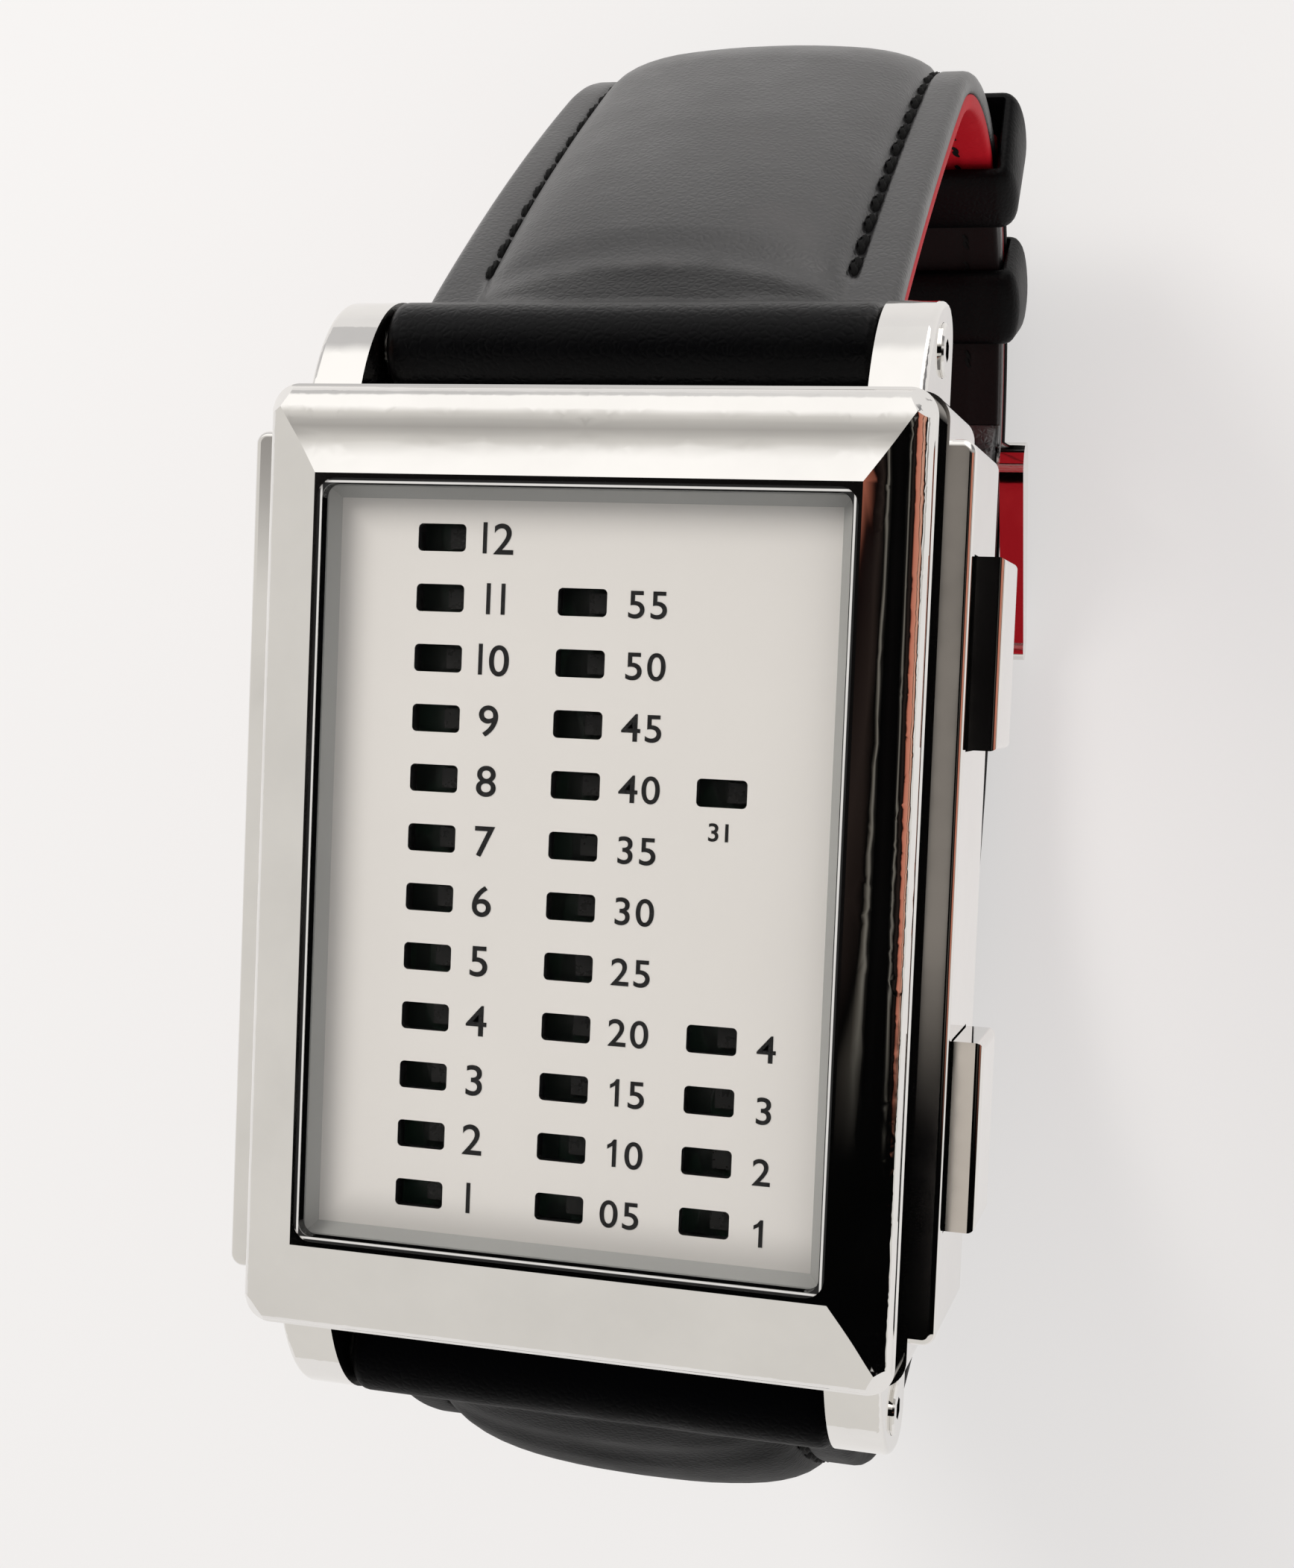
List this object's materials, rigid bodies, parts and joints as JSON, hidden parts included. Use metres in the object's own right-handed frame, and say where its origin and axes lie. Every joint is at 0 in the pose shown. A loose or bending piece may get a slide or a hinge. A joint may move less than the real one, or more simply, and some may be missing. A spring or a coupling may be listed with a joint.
{
  "type": "binary led wristwatch",
  "caption": "Rectangular wristwatch that shows binary-style time through slots in its dial, with a mitred polished bezel, side pushers and a padded leather strap closed in its buckle.",
  "frame": {"origin": "centre of the case back's flat outer face", "axes": "+Z out of the dial, +Y towards 12 o'clock, +X towards 3 o'clock and the pushers"},
  "size_m": [0.0354, 0.0823, 0.0655],
  "materials": {
    "polished_steel": "polished",
    "brushed_steel": "brushed",
    "spring_steel": "drawn wire",
    "mineral_glass": "clear, flat",
    "black_rubber": "matt",
    "flange_grey": "satin",
    "dial_silver": "fine matt silver",
    "baffle_black": "matt",
    "diode": "clear over dark",
    "board_green": "lacquered",
    "chip_black": "matt",
    "holder_plastic": "moulded",
    "contact_brass": "plated",
    "black_leather": "smooth, padded, semi-gloss",
    "red_lining": "smooth"
  },
  "bodies": {
    "watch_body": {"back_gasket": "black_rubber", "back_screws": "brushed_steel", "battery_clamp": "brushed_steel", "bezel": "polished_steel", "buckle_bar": "brushed_steel", "case_back": "brushed_steel", "case_middle": "polished_steel", "coin_cell_inner": "brushed_steel", "coin_cell_outer": "brushed_steel", "contact_leaves": "contact_brass", "controller_chip": "chip_black", "crystal": "mineral_glass", "crystal_gasket": "black_rubber", "dial": "dial_silver", "inner_flange": "flange_grey", "keeper_fixed": "black_leather", "led_board": "board_green", "led_chips": "diode", "light_baffle": "baffle_black", "lining_lower": "red_lining", "lining_upper": "red_lining", "lug_bar_lower": "brushed_steel", "lug_bar_upper": "brushed_steel", "lug_screws": "polished_steel", "module_holder": "holder_plastic", "pusher_seal_lower": "black_rubber", "pusher_seal_upper": "black_rubber", "quartz_can": "brushed_steel", "strap_lower": "black_leather", "strap_upper": "black_leather"},
    "pusher_upper_body": {"pusher_upper": "polished_steel", "pusher_spring_upper": "spring_steel", "pusher_clip_upper": "brushed_steel"},
    "pusher_lower_body": {"pusher_lower": "polished_steel", "pusher_spring_lower": "spring_steel", "pusher_clip_lower": "brushed_steel"},
    "free_keeper_body": {"keeper_free": "black_leather"},
    "buckle_body": {"buckle_frame": "polished_steel"},
    "tang_body": {"buckle_tang": "polished_steel"}
  },
  "joints": [
    {"name": "pusher_upper_press", "type": "slide", "parent": "watch_body", "child": "pusher_upper_body", "axis": [-1, 0, 0], "range_m": [0, 0.0008], "stiffness_N_per_m": 500, "springref_m": -0.0004},
    {"name": "pusher_lower_press", "type": "slide", "parent": "watch_body", "child": "pusher_lower_body", "axis": [-1, 0, 0], "range_m": [0, 0.0008], "stiffness_N_per_m": 500, "springref_m": -0.0004},
    {"name": "free_keeper_slide", "type": "hinge", "parent": "watch_body", "child": "free_keeper_body", "pos_m": [0, 0.02759, -0.02918], "axis": [1, 0, 0], "range_deg": [-12, 10]},
    {"name": "buckle_pivot", "type": "hinge", "parent": "watch_body", "child": "buckle_body", "pos_m": [0, 0.02437, -0.04616], "axis": [1, 0, 0], "range_deg": [0, 4]},
    {"name": "tang_pivot", "type": "hinge", "parent": "buckle_body", "child": "tang_body", "pos_m": [0, 0.02437, -0.04616], "axis": [1, 0, 0], "range_deg": [0, 4]}
  ]
}
